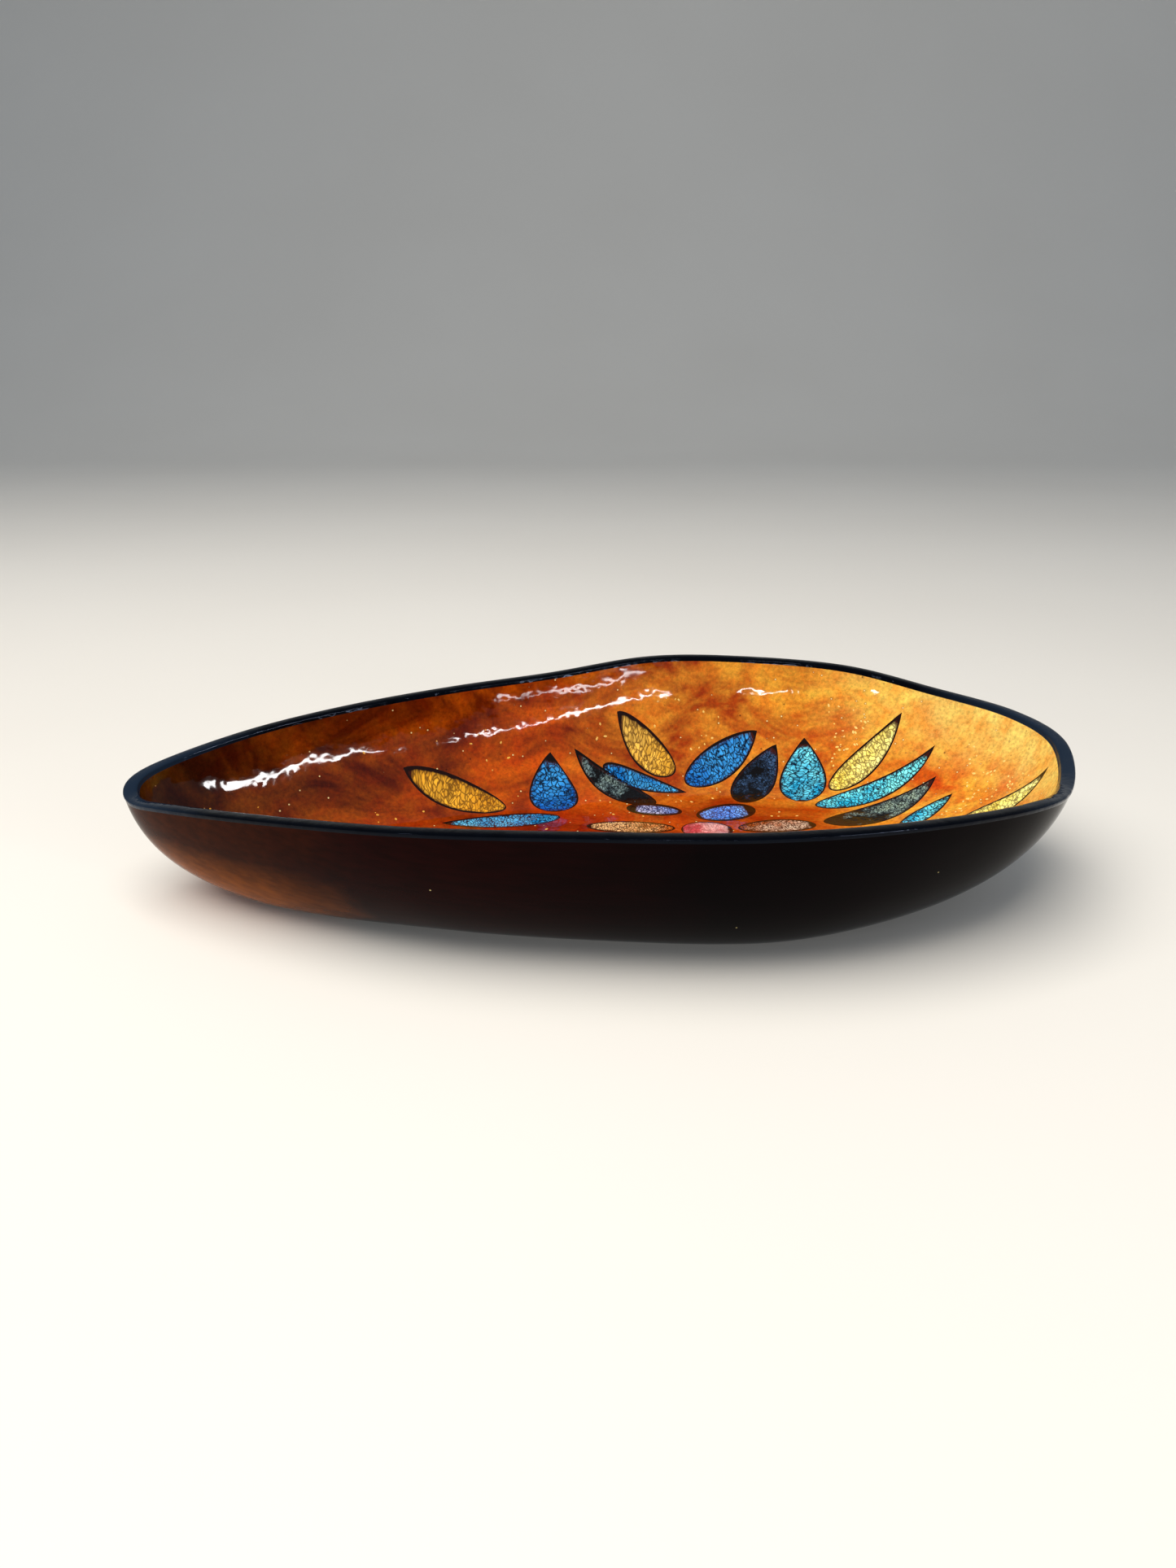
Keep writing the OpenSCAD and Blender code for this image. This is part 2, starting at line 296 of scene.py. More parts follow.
def first_ring(bm, places):
    """Starts a mesh from a circle whose vertices go to their places."""
    ring = bmesh.ops.create_circle(bm, segments=len(places), radius=1)["verts"]
    for vert, place in zip(ring, places):
        vert.co = place * MM
    return ring


def close_ring(bm, ring):
    """Closes the floor inside a ring with a fan round its middle."""
    edges = [bm.edges.get((ring[i - 1], ring[i])) for i in range(len(ring))]
    face = bmesh.ops.contextual_create(bm, geom=edges)["faces"]
    bmesh.ops.poke(bm, faces=face)


def finish_piece(bm, name, material):
    """Makes a bmesh an object of the bowl, with outward faces, and gives it its finish."""
    bmesh.ops.recalc_face_normals(bm, faces=bm.faces)
    mesh = bpy.data.meshes.new(name)
    bm.to_mesh(mesh)
    bm.free()
    mesh.polygons.foreach_set("use_smooth", [True] * len(mesh.polygons))
    mesh.set_sharp_from_angle(angle=SHARP_ANGLE)
    mesh.materials.append(material)
    piece = bpy.data.objects.new(name, mesh)
    bpy.context.scene.collection.objects.link(piece)
    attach(piece, "root")
    return piece


# ---------------------------------------------------------------- material helpers

def colour(code):
    """An sRGB hex colour as linear RGBA."""
    def linear(c):
        return c / 12.92 if c <= 0.04045 else ((c + 0.055) / 1.055) ** 2.4
    return tuple(linear(int(code[k:k + 2], 16) / 255) for k in (1, 3, 5)) + (1.0,)


def add(tree, kind, settings=None, inputs=None, stops=()):
    """Adds a node, sets its settings, its ramp stops, and sets or links its inputs by name or number."""
    node = tree.nodes.new(kind)
    for key, value in (settings or {}).items():
        setattr(node, key, value)
    for key, value in (inputs or {}).items():
        if isinstance(value, bpy.types.NodeSocket):
            tree.links.new(value, node.inputs[key])
        else:
            node.inputs[key].default_value = value
    while len(stops) > len(node.color_ramp.elements if stops else ()):
        node.color_ramp.elements.new(0.5)
    for stop, (position, shade) in zip(node.color_ramp.elements if stops else (), stops):
        stop.position = position
        stop.color = shade
    return node


def new_material(name):
    """An empty node material and its tree."""
    material = bpy.data.materials.new(name)
    material.use_nodes = True
    material.node_tree.nodes.clear()
    return material, material.node_tree


# Settings of a colour mix: its factor is input 0, its colours are inputs 6 and 7, and its result is output 2.
MIX = {"data_type": "RGBA"}
FILTER = {"data_type": "RGBA", "blend_type": "MULTIPLY"}
# Settings of the sums: input 0 times input 1, that plus input 2, and whether input 0 is over input 1.
TIMES = {"operation": "MULTIPLY"}
TIMES_PLUS = {"operation": "MULTIPLY_ADD"}
IS_OVER = {"operation": "GREATER_THAN"}


def amber_glass(looks):
    """Amber glass, gathered in layers and fire-polished: swirls, grain and seed bubbles under a wet gloss,
    with painted light, shade and glints.
    """
    material, tree = new_material("amber_glass_fire_polished")
    place = add(tree, "ShaderNodeTexCoord").outputs["Object"]
    split = add(tree, "ShaderNodeSeparateXYZ", None, {"Vector": place})
    climb = add(tree, "ShaderNodeAttribute", {"attribute_name": "climb"}).outputs["Fac"]
    # Along the bowl the amber darkens towards the pointed end and lightens to gold at the blunt end: partly
    # the glass's own colour, partly painted shade at the pointed end and painted light at the blunt end.
    drift = add(tree, "ShaderNodeTexNoise", None, {"Vector": place, "Scale": 1 / 0.045, "Detail": 2.0})
    pushed = add(tree, "ShaderNodeMath", TIMES_PLUS, {
        0: drift.outputs["Fac"], 1: 0.05, 2: split.outputs["X"]
    })
    along = add(tree, "ShaderNodeMapRange", None, {
        "Value": pushed.outputs[0], "From Min": -0.110, "From Max": 0.150
    })
    shade = add(
        tree, "ShaderNodeValToRGB", None, {"Fac": along.outputs[0]},
        ((0.0, looks.amber_shade), (0.45, looks.amber_deep), (1.0, looks.amber_mid))
    ).outputs[0]
    light = add(
        tree, "ShaderNodeValToRGB", None, {"Fac": along.outputs[0]},
        ((0.0, looks.amber_brown), (0.45, looks.amber_mid), (0.95, looks.amber_gold))
    ).outputs[0]
    # Slow swirls about 25 mm wide, drawn out along the bowl where the gather was pulled.
    pulled = add(tree, "ShaderNodeMapping", None, {"Vector": place, "Scale": (0.55, 1.0, 1.0)})
    swirl = add(tree, "ShaderNodeTexNoise", None, {
        "Vector": pulled.outputs[0], "Scale": 1 / 0.025, "Detail": 4.0, "Roughness": 0.62,
        "Distortion": 0.7
    })
    patches = add(tree, "ShaderNodeMapRange", None, {
        "Value": swirl.outputs["Fac"], "From Min": 0.40, "From Max": 0.62
    })
    body = add(tree, "ShaderNodeMix", MIX, {0: patches.outputs[0], 6: shade, 7: light}).outputs[2]
    # Under the lip at the blunt end the amber turns to pale gold, a painted glow of light through the thin
    # wall, and the floor is a redder pool of painted shade.
    under_lip = add(tree, "ShaderNodeMapRange", None, {"Value": climb, "From Min": 0.62, "From Max": 0.95})
    blunt = add(tree, "ShaderNodeMapRange", None, {
        "Value": split.outputs["X"], "From Min": 0.075, "From Max": 0.135
    })
    thin = add(tree, "ShaderNodeMath", TIMES, {0: under_lip.outputs[0], 1: blunt.outputs[0]})
    lit_through = add(tree, "ShaderNodeMix", MIX, {0: thin.outputs[0], 6: body, 7: looks.amber_lit_through}).outputs[2]
    # Painted shade: the floor of the bowl darkens to a redder pool.
    pool = add(tree, "ShaderNodeMapRange", None, {
        "Value": climb, "From Min": 0.34, "From Max": 0.02, "To Max": 0.9
    })
    floor_shaded = add(tree, "ShaderNodeMix", FILTER, {
        0: pool.outputs[0], 6: lit_through, 7: looks.amber_floor_shade
    }).outputs[2]
    # Clouds about 7 mm wide, where the frit melted unevenly.
    cloud = add(tree, "ShaderNodeTexNoise", None, {
        "Vector": place, "Scale": 1 / 0.007, "Detail": 3.0, "Roughness": 0.6, "Distortion": 0.4
    })
    cloud_tone = add(tree, "ShaderNodeMapRange", None, {
        "Value": cloud.outputs["Fac"], "From Min": 0.34, "From Max": 0.62
    })
    clouds = add(tree, "ShaderNodeMix", MIX, {
        0: cloud_tone.outputs[0], 6: looks.amber_cloud, 7: colour("#FFFFFF")
    }).outputs[2]
    clouded = add(tree, "ShaderNodeMix", FILTER, {0: 0.6, 6: floor_shaded, 7: clouds}).outputs[2]
    # Grain about 1 mm across, which the frit leaves all through the layer.
    grain = add(tree, "ShaderNodeTexNoise", None, {
        "Vector": place, "Scale": 1 / 0.0013, "Detail": 2.0, "Roughness": 0.7
    })
    grain_tone = add(tree, "ShaderNodeMapRange", None, {
        "Value": grain.outputs["Fac"], "From Min": 0.3, "From Max": 0.7, "To Min": 0.74, "To Max": 1.28
    })
    toned = add(tree, "ShaderNodeMix", FILTER, {0: 1.0, 6: clouded, 7: grain_tone.outputs[0]}).outputs[2]
    # Seed bubbles about 0.6 mm across in cells of 3 mm, each a painted glint with a ring of painted shade:
    # one cell in seven holds one at the pointed end, and half of them at the blunt end.
    cells = add(tree, "ShaderNodeTexVoronoi", {"feature": "F1"}, {"Vector": place, "Scale": 1 / 0.0030})
    pick = add(tree, "ShaderNodeSeparateColor", None, {"Color": cells.outputs["Color"]})
    denser = add(tree, "ShaderNodeMapRange", None, {
        "Value": split.outputs["X"], "From Min": -0.1, "From Max": 0.12, "To Min": 0.86, "To Max": 0.45
    })
    chosen = add(tree, "ShaderNodeMath", IS_OVER, {0: pick.outputs["Red"], 1: denser.outputs[0]})
    ring = add(tree, "ShaderNodeMapRange", None, {
        "Value": cells.outputs["Distance"], "From Min": 0.13, "From Max": 0.20, "To Min": 0.45,
        "To Max": 0.0
    })
    bubble_shade_share = add(tree, "ShaderNodeMath", TIMES, {0: chosen.outputs[0], 1: ring.outputs[0]})
    bubble_shaded = add(tree, "ShaderNodeMix", MIX, {
        0: bubble_shade_share.outputs[0], 6: toned, 7: looks.amber_deep
    }).outputs[2]
    glint_spot = add(tree, "ShaderNodeMapRange", None, {
        "Value": cells.outputs["Distance"], "From Min": 0.06, "From Max": 0.12, "To Min": 1.0,
        "To Max": 0.0
    })
    glint_spot_share = add(tree, "ShaderNodeMath", TIMES, {0: chosen.outputs[0], 1: glint_spot.outputs[0]})
    speckled = add(tree, "ShaderNodeMix", MIX, {
        0: glint_spot_share.outputs[0], 6: bubble_shaded, 7: looks.seed
    }).outputs[2]
    # Dark dots of frit about 0.7 mm across, one in five cells of 4 mm.
    frit = add(tree, "ShaderNodeTexVoronoi", {"feature": "F1"}, {"Vector": place, "Scale": 1 / 0.0040})
    frit_pick = add(tree, "ShaderNodeSeparateColor", None, {"Color": frit.outputs["Color"]})
    frit_chosen = add(tree, "ShaderNodeMath", IS_OVER, {0: frit_pick.outputs["Green"], 1: 0.8})
    dot = add(tree, "ShaderNodeMapRange", None, {
        "Value": frit.outputs["Distance"], "From Min": 0.06, "From Max": 0.12, "To Min": 0.7, "To Max": 0.0
    })
    dot_share = add(tree, "ShaderNodeMath", TIMES, {0: frit_chosen.outputs[0], 1: dot.outputs[0]})
    dotted = add(tree, "ShaderNodeMix", MIX, {
        0: dot_share.outputs[0], 6: speckled, 7: looks.amber_shade
    }).outputs[2]
    # The blown face is never flat: waves about 18 mm apart, with finer ones on them, break its reflections.
    wave = add(tree, "ShaderNodeTexNoise", None, {
        "Vector": place, "Scale": 1 / 0.018, "Detail": 3.0, "Roughness": 0.5
    })
    bump = add(tree, "ShaderNodeBump", None, {
        "Height": wave.outputs["Fac"], "Strength": 0.5, "Distance": 0.0010
    })
    shader = add(tree, "ShaderNodeBsdfPrincipled", None, {
        "Base Color": dotted,
        "Roughness": 0.05, "IOR": 1.52, "Specular IOR Level": 0.30, "Normal": bump.outputs[0],
    })
    add(tree, "ShaderNodeOutputMaterial", None, {"Surface": shader.outputs[0]})
    return material


def casing_glass(looks):
    """Maroon casing glass, blown and fire-polished: nearly black, with a painted amber glow low at the
    pointed end.
    """
    material, tree = new_material("maroon_casing_glass_fire_polished")
    place = add(tree, "ShaderNodeTexCoord").outputs["Object"]
    split = add(tree, "ShaderNodeSeparateXYZ", None, {"Vector": place})
    swirl = add(tree, "ShaderNodeTexNoise", None, {
        "Vector": place, "Scale": 1 / 0.018, "Detail": 3.0, "Distortion": 0.5
    })
    pushed = add(tree, "ShaderNodeMath", TIMES_PLUS, {
        0: swirl.outputs["Fac"], 1: 0.04, 2: split.outputs["X"]
    })
    # Painted glow: low on the pointed end the casing is lightened to amber.
    end = add(tree, "ShaderNodeMapRange", None, {
        "Value": pushed.outputs[0], "From Min": -0.115, "From Max": -0.050, "To Min": 1.0, "To Max": 0.0
    })
    low = add(tree, "ShaderNodeMapRange", None, {
        "Value": split.outputs["Z"], "From Min": 0.006, "From Max": 0.026, "To Min": 1.0, "To Max": 0.06
    })
    glow = add(tree, "ShaderNodeMath", TIMES, {0: end.outputs[0], 1: low.outputs[0]})
    maroon = add(tree, "ShaderNodeMapRange", None, {
        "Value": pushed.outputs[0], "From Min": -0.12, "From Max": 0.05, "To Min": 1.0, "To Max": 0.0
    })
    body = add(tree, "ShaderNodeMix", MIX, {
        0: maroon.outputs[0], 6: looks.casing, 7: looks.casing_maroon
    }).outputs[2]
    painted_casing_glow = add(tree, "ShaderNodeMix", MIX, {
        0: glow.outputs[0], 6: body, 7: looks.casing_glow_tone
    }).outputs[2]
    # Threads of darker and lighter glass 2 mm apart, drawn out along the bowl.
    pulled = add(tree, "ShaderNodeMapping", None, {"Vector": place, "Scale": (0.1, 1.0, 1.0)})
    thread = add(tree, "ShaderNodeTexNoise", None, {
        "Vector": pulled.outputs[0], "Scale": 1 / 0.002, "Detail": 2.0
    })
    thread_tone = add(tree, "ShaderNodeMapRange", None, {
        "Value": thread.outputs["Fac"], "From Min": 0.35, "From Max": 0.65, "To Min": 0.8, "To Max": 1.2
    })
    toned = add(tree, "ShaderNodeMix", FILTER, {0: 1.0, 6: painted_casing_glow, 7: thread_tone.outputs[0]}).outputs[2]
    # A few seeds about 0.6 mm across, one in twelve cells of 7 mm, each a painted glint.
    cells = add(tree, "ShaderNodeTexVoronoi", {"feature": "F1"}, {"Vector": place, "Scale": 1 / 0.007})
    pick = add(tree, "ShaderNodeSeparateColor", None, {"Color": cells.outputs["Color"]})
    chosen = add(tree, "ShaderNodeMath", IS_OVER, {0: pick.outputs["Red"], 1: 0.92})
    glint_spot = add(tree, "ShaderNodeMapRange", None, {
        "Value": cells.outputs["Distance"], "From Min": 0.03, "From Max": 0.06, "To Min": 0.5,
        "To Max": 0.0
    })
    casing_glint_share = add(tree, "ShaderNodeMath", TIMES, {0: chosen.outputs[0], 1: glint_spot.outputs[0]})
    speckled = add(tree, "ShaderNodeMix", MIX, {
        0: casing_glint_share.outputs[0], 6: toned, 7: looks.seed
    }).outputs[2]
    wave = add(tree, "ShaderNodeTexNoise", None, {"Vector": place, "Scale": 1 / 0.030, "Detail": 1.0})
    bump = add(tree, "ShaderNodeBump", None, {
        "Height": wave.outputs["Fac"], "Strength": 0.3, "Distance": 0.0012
    })
    shader = add(tree, "ShaderNodeBsdfPrincipled", None, {
        "Base Color": speckled,
        "Roughness": 0.06, "IOR": 1.52, "Specular IOR Level": 0.03, "Normal": bump.outputs[0],
    })
    add(tree, "ShaderNodeOutputMaterial", None, {"Surface": shader.outputs[0]})
    return material


def lip_glass(looks):
    """Black lip wrap, trailed on hot and fire-polished: a smooth bead with a blue sheen and small ripples,
    and painted reflection of the sky in its navy streaks and slate ends.
    """
    material, tree = new_material("black_lip_glass_fire_polished")
    place = add(tree, "ShaderNodeTexCoord").outputs["Object"]
    ripple = add(tree, "ShaderNodeTexNoise", None, {"Vector": place, "Scale": 1 / 0.006, "Detail": 2.0})
    split = add(tree, "ShaderNodeSeparateXYZ", None, {"Vector": place})
    out = add(tree, "ShaderNodeMath", {"operation": "ABSOLUTE"}, {0: split.outputs["X"]})
    # Painted reflection: navy streaks in the black and slate blue at both ends stand for the sky mirrored in
    # the lip.
    ends = add(tree, "ShaderNodeMapRange", None, {
        "Value": out.outputs[0], "From Min": 0.115, "From Max": 0.145
    })
    black = add(tree, "ShaderNodeMix", MIX, {
        0: ripple.outputs["Fac"], 6: looks.lip, 7: looks.lip_navy_reflection
    }).outputs[2]
    tone = add(tree, "ShaderNodeMix", MIX, {0: ends.outputs[0], 6: black, 7: looks.lip_sky_reflection}).outputs[2]
    bump = add(tree, "ShaderNodeBump", None, {
        "Height": ripple.outputs["Fac"], "Strength": 0.5, "Distance": 0.0006
    })
    shader = add(tree, "ShaderNodeBsdfPrincipled", None, {
        "Base Color": tone,
        "Roughness": 0.07, "IOR": 1.52, "Specular IOR Level": 0.12,
        "Specular Tint": looks.lip_sheen, "Normal": bump.outputs[0],
    })
    add(tree, "ShaderNodeOutputMaterial", None, {"Surface": shader.outputs[0]})
    return material


def seed_glass(looks):
    """A gas bubble just under the amber face, seen as a bright bead: painted light in its pale colour, paler
    towards the blunt end, under clear amber skin with a sharp glint.
    """
    material, tree = new_material("amber_glass_seed_bubbles")
    place = add(tree, "ShaderNodeTexCoord").outputs["Object"]
    tone = add(tree, "ShaderNodeTexNoise", None, {"Vector": place, "Scale": 1 / 0.0012, "Detail": 1.0})
    split = add(tree, "ShaderNodeSeparateXYZ", None, {"Vector": place})
    # Painted light: the beads' pale colour, paler towards the blunt end.
    blunt = add(tree, "ShaderNodeMapRange", None, {
        "Value": split.outputs["X"], "From Min": -0.1, "From Max": 0.11
    })
    lit_bead = add(tree, "ShaderNodeMix", MIX, {
        0: blunt.outputs[0], 6: looks.amber_mid, 7: looks.seed
    }).outputs[2]
    mixed = add(tree, "ShaderNodeMix", MIX, {
        0: tone.outputs["Fac"], 6: lit_bead, 7: looks.amber_gold
    }).outputs[2]
    shader = add(tree, "ShaderNodeBsdfPrincipled", None, {
        "Base Color": mixed, "Roughness": 0.04, "IOR": 1.52
    })
    add(tree, "ShaderNodeOutputMaterial", None, {"Surface": shader.outputs[0]})
    return material


def leaf_glass(
    name, looks, first, second, crack, outline, cell=1.5 * MM, crackle=1.0, bare_from=0.86, root=None,
    rim=0.0002
):
    """Opaque colour crackled by quick cooling and cased in clear glass: fine dark cells under a wet gloss.
    first and second are (tip colour, root colour) of two leaves, mixed by the leaf's tint."""
    material, tree = new_material(name)
    uv = add(tree, "ShaderNodeUVMap", {"uv_map": "leaf"}).outputs["UV"]
    edge = add(tree, "ShaderNodeAttribute", {"attribute_name": "edge"}).outputs["Fac"]
    share = add(tree, "ShaderNodeAttribute", {"attribute_name": "share"}).outputs["Fac"]
    seed = add(tree, "ShaderNodeAttribute", {"attribute_name": "seed"}).outputs["Fac"]
    tint = add(tree, "ShaderNodeAttribute", {"attribute_name": "tint"}).outputs["Fac"]
    apart = add(tree, "ShaderNodeCombineXYZ", None, {"Z": seed})
    moved = add(tree, "ShaderNodeVectorMath", {"operation": "ADD"}, {0: uv, 1: apart.outputs[0]}).outputs[0]
    # Wandering cells, wider across the leaf than along it.
    ripple = add(tree, "ShaderNodeTexNoise", None, {"Vector": moved, "Scale": 1 / 0.003, "Detail": 2.0})
    wobble = add(tree, "ShaderNodeVectorMath", {
        "operation": "SCALE"
    }, {0: ripple.outputs["Color"], "Scale": 0.0028})
    bent = add(tree, "ShaderNodeVectorMath", {"operation": "ADD"}, {0: moved, 1: wobble.outputs[0]})
    squeezed = add(tree, "ShaderNodeMapping", None, {"Vector": bent.outputs[0], "Scale": (1.45, 0.8, 1.0)})
    cells = add(tree, "ShaderNodeTexVoronoi", {
        "feature": "DISTANCE_TO_EDGE"
    }, {"Vector": squeezed.outputs[0], "Scale": 1 / cell})
    tones = add(tree, "ShaderNodeTexVoronoi", {"feature": "F1"}, {
        "Vector": squeezed.outputs[0], "Scale": 1 / cell
    })
    tone_pick = add(tree, "ShaderNodeSeparateColor", None, {"Color": tones.outputs["Color"]})
    crack_line = add(tree, "ShaderNodeMapRange", None, {
        "Value": cells.outputs["Distance"], "From Min": 0.03, "From Max": 0.18, "To Min": crackle,
        "To Max": 0.0
    })
    cloud = add(tree, "ShaderNodeTexNoise", None, {
        "Vector": moved, "Scale": 1 / 0.008, "Detail": 3.0, "Roughness": 0.65
    })
    lean = add(tree, "ShaderNodeMath", TIMES_PLUS, {0: share, 1: 0.30, 2: cloud.outputs["Fac"]})
    tip_share = add(tree, "ShaderNodeMapRange", None, {
        "Value": lean.outputs[0], "From Min": 0.48, "From Max": 0.80
    })
    tip = add(tree, "ShaderNodeMix", MIX, {0: tint, 6: colour(first[0]), 7: colour(second[0])}).outputs[2]
    root_tone = add(tree, "ShaderNodeMix", MIX, {
        0: tint, 6: colour(first[1]), 7: colour(second[1])
    }).outputs[2]
    body = add(tree, "ShaderNodeMix", MIX, {0: tip_share.outputs[0], 6: root_tone, 7: tip}).outputs[2]
    cell_tone = add(tree, "ShaderNodeMapRange", None, {
        "Value": tone_pick.outputs["Red"], "To Min": 0.85, "To Max": 1.45
    })
    varied = add(tree, "ShaderNodeMix", FILTER, {0: 1.0, 6: body, 7: cell_tone.outputs[0]}).outputs[2]
    crackled = add(tree, "ShaderNodeMix", MIX, {
        0: crack_line.outputs[0], 6: varied, 7: colour(crack)
    }).outputs[2]
    if root:
        dark_root = add(tree, "ShaderNodeMapRange", None, {
            "Value": lean.outputs[0], "From Min": 0.62, "From Max": 0.72, "To Min": 0.97, "To Max": 0.0
        })
        crackled = add(tree, "ShaderNodeMix", MIX, {
            0: dark_root.outputs[0], 6: crackled, 7: colour(root)
        }).outputs[2]
    uneven = add(tree, "ShaderNodeMath", TIMES_PLUS, {0: ripple.outputs["Fac"], 1: 0.10, 2: share})
    bare = add(tree, "ShaderNodeMapRange", None, {
        "Value": uneven.outputs[0], "From Min": bare_from + 0.03, "From Max": bare_from + 0.07
    })
    tipped = add(tree, "ShaderNodeMix", MIX, {0: bare.outputs[0], 6: crackled, 7: looks.bare}).outputs[2]
    # A dark outline about 0.6 mm wide (wider on the chips), never quite even, with a brown halo inside it.
    rough_edge = add(tree, "ShaderNodeMath", TIMES_PLUS, {0: ripple.outputs["Fac"], 1: -0.0007, 2: edge})
    halo = add(tree, "ShaderNodeMapRange", None, {
        "Value": rough_edge.outputs[0], "From Min": rim + 0.0001, "From Max": rim + 0.0008, "To Min": 0.6,
        "To Max": 0.0
    })
    haloed = add(tree, "ShaderNodeMix", MIX, {0: halo.outputs[0], 6: tipped, 7: looks.bare}).outputs[2]
    line = add(tree, "ShaderNodeMapRange", None, {
        "Value": rough_edge.outputs[0], "From Min": rim, "From Max": rim + 0.0002, "To Min": 1.0,
        "To Max": 0.0
    })
    edged = add(tree, "ShaderNodeMix", MIX, {0: line.outputs[0], 6: haloed, 7: colour(outline)}).outputs[2]
    bump = add(tree, "ShaderNodeBump", None, {
        "Height": cloud.outputs["Fac"], "Strength": 0.35, "Distance": 0.0008
    })
    shader = add(tree, "ShaderNodeBsdfPrincipled", None, {
        "Base Color": edged,
        "Roughness": 0.07, "IOR": 1.52, "Specular IOR Level": 0.3, "Normal": bump.outputs[0],
    })
    add(tree, "ShaderNodeOutputMaterial", None, {"Surface": shader.outputs[0]})
    return material


# ---------------------------------------------------------------- settings

def colour_setting(name, text, code):
    """A colour setting."""
    return bpy.props.FloatVectorProperty(
        name=name, description=text, default=colour(code), size=4, min=0, max=1, subtype="COLOR"
    )


class GlassBowlShape(bpy.types.PropertyGroup):
    """Sizes of the smooth glass layers."""

    lip_width: bpy.props.FloatProperty(
        name="Lip width", description="Width of the lip across both layers", default=4.5 * MM,
        unit="LENGTH"
    )
    lip_height: bpy.props.FloatProperty(
        name="Lip height", description="Height of the lip wrap", default=1.8 * MM, unit="LENGTH"
    )
    casing_share: bpy.props.FloatProperty(
        name="Casing share", description="Share of the wall that is casing", default=0.45, subtype="FACTOR"
    )
    floor_thickness: bpy.props.FloatProperty(
        name="Floor thickness", description="Thickness of the floor", default=8 * MM, unit="LENGTH"
    )
    seed_count: bpy.props.IntProperty(
        name="Seeds", description="Number of seed bubbles near the surface", default=650
    )


class GlassBowlLooks(bpy.types.PropertyGroup):
    """Colours of the glass."""

    # The darker amber tones at the pointed end are partly painted shade, and the lighter ones at the blunt
    # end partly painted light.
    amber_shade: colour_setting("Amber shade", "Darkest amber, at the pointed end", "#2C0E02")
    amber_brown: colour_setting("Amber brown", "Lightest amber at the pointed end", "#5E3306")
    amber_deep: colour_setting("Amber deep", "Darkest amber in the middle", "#702403")
    amber_mid: colour_setting("Amber mid", "Lightest amber in the middle", "#D05A06")
    amber_gold: colour_setting("Amber gold", "Lightest amber at the blunt end", "#FFD044")
    # Painted glow: the pale gold painted under the lip at the blunt end.
    amber_lit_through: colour_setting("Amber pale", "Thin amber under the lip at the blunt end", "#FFE274")
    # Filter of the painted shade on the bowl's floor.
    amber_floor_shade: colour_setting("Amber red", "Filter of the redder pool on the floor", "#D07048")
    amber_cloud: colour_setting("Amber cloud", "Filter of the denser clouds in the amber", "#F2A050")
    seed: colour_setting("Seeds", "Light caught by a seed bubble", "#FFE9A0")
    bare: colour_setting("Bare tip", "Brown glass at a leaf's bare tip", "#3C1206")
    casing: colour_setting("Casing", "Casing glass, nearly black", "#030001")
    casing_maroon: colour_setting("Maroon casing", "Casing towards the pointed end", "#220402")
    # Colour of the painted glow low on the casing's pointed end.
    casing_glow_tone: colour_setting("Thin casing", "Casing where it is thin", "#A8580C")
    lip: colour_setting("Lip", "Black lip wrap", "#020203")
    # The lip's navy streaks and slate ends are painted reflection of the sky.
    lip_navy_reflection: colour_setting("Lip navy", "Navy streaks in the lip wrap", "#05080F")
    lip_sky_reflection: colour_setting("Lip slate", "Slate blue lip at both ends", "#1A2636")
    lip_sheen: colour_setting("Lip sheen", "Colour of the lip's sheen", "#B8C8EC")


class GlassBowlStage(bpy.types.PropertyGroup):
    """Light and camera of the studio."""

    floor_colour: colour_setting("Floor", "Pale studio floor", "#F6F4EF")
    floor_shade: colour_setting("Floor shade", "Faint mottling of the floor", "#EEEBE5")
    soft_power: bpy.props.FloatProperty(
        name="Soft light power", description="Strength of the soft overhead light", default=20.0,
        unit="POWER"
    )
    window_power: bpy.props.FloatProperty(
        name="Window power", description="Strength of the window light", default=2.4, unit="POWER"
    )
    camera_pitch: bpy.props.FloatProperty(
        name="Camera pitch", description="Angle at which the camera looks down", default=math.radians(20),
        subtype="ANGLE"
    )


GROUPS = (GlassBowlShape, GlassBowlLooks, GlassBowlStage)


def inner_face(shape):
    """The lining's inner face, which the inlays follow."""
    return Face(shape.lip_width / MM, LINING_FOOT_INSET, shape.floor_thickness / MM)


def middle_face(shape):
    """The face where the casing and the lining meet."""
    return Face(
        shape.lip_width / MM * shape.casing_share, MIDDLE_FOOT_INSET,
        shape.floor_thickness / MM * shape.casing_share
    )


def outer_face():
    """The outside of the casing."""
    return Face(0, 0, 0, BASE_EDGE_ANGLE)


def layer_mesh(outside, inside, lip_height):
    """One glass layer as a closed shell, which knows how far up the wall each point is."""
    bm = bmesh.new()
    climb = bm.verts.layers.float.new("climb")
    rings = outside.rings(lip_height) + inside.rings(lip_height)[::-1]
    up = [0.0] * len(FLOOR_SHARES) + [k / WALL_STEPS for k in range(WALL_STEPS + 1)]
    ring = first_ring(bm, rings[0])
    close_ring(bm, ring)
    for places, share in zip(rings[1:], (up + up[::-1])[1:]):
        ring = extrude_ring(bm, ring, places)
        for vert in ring:
            vert[climb] = share
    close_ring(bm, ring)
    return bm


# ---------------------------------------------------------------- operators

class BOWL_OT_layers(bpy.types.Operator):
    """Makes the smooth casing and the smooth amber lining"""

    bl_idname = "glass_bowl.layers"
    bl_label = "Glass layers"

    def execute(self, context):
        shape, looks = context.scene.glass_bowl_shape, context.scene.glass_bowl_looks
        lip = shape.lip_height / MM
        casing = finish_piece(
            layer_mesh(outer_face(), middle_face(shape), lip), "casing_glass", casing_glass(looks),
        )
        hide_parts("outer_casing")
        lining = finish_piece(
            layer_mesh(middle_face(shape), inner_face(shape), lip), "lining_glass", amber_glass(looks),
        )
        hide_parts("amber_lining")
        return {"FINISHED"}


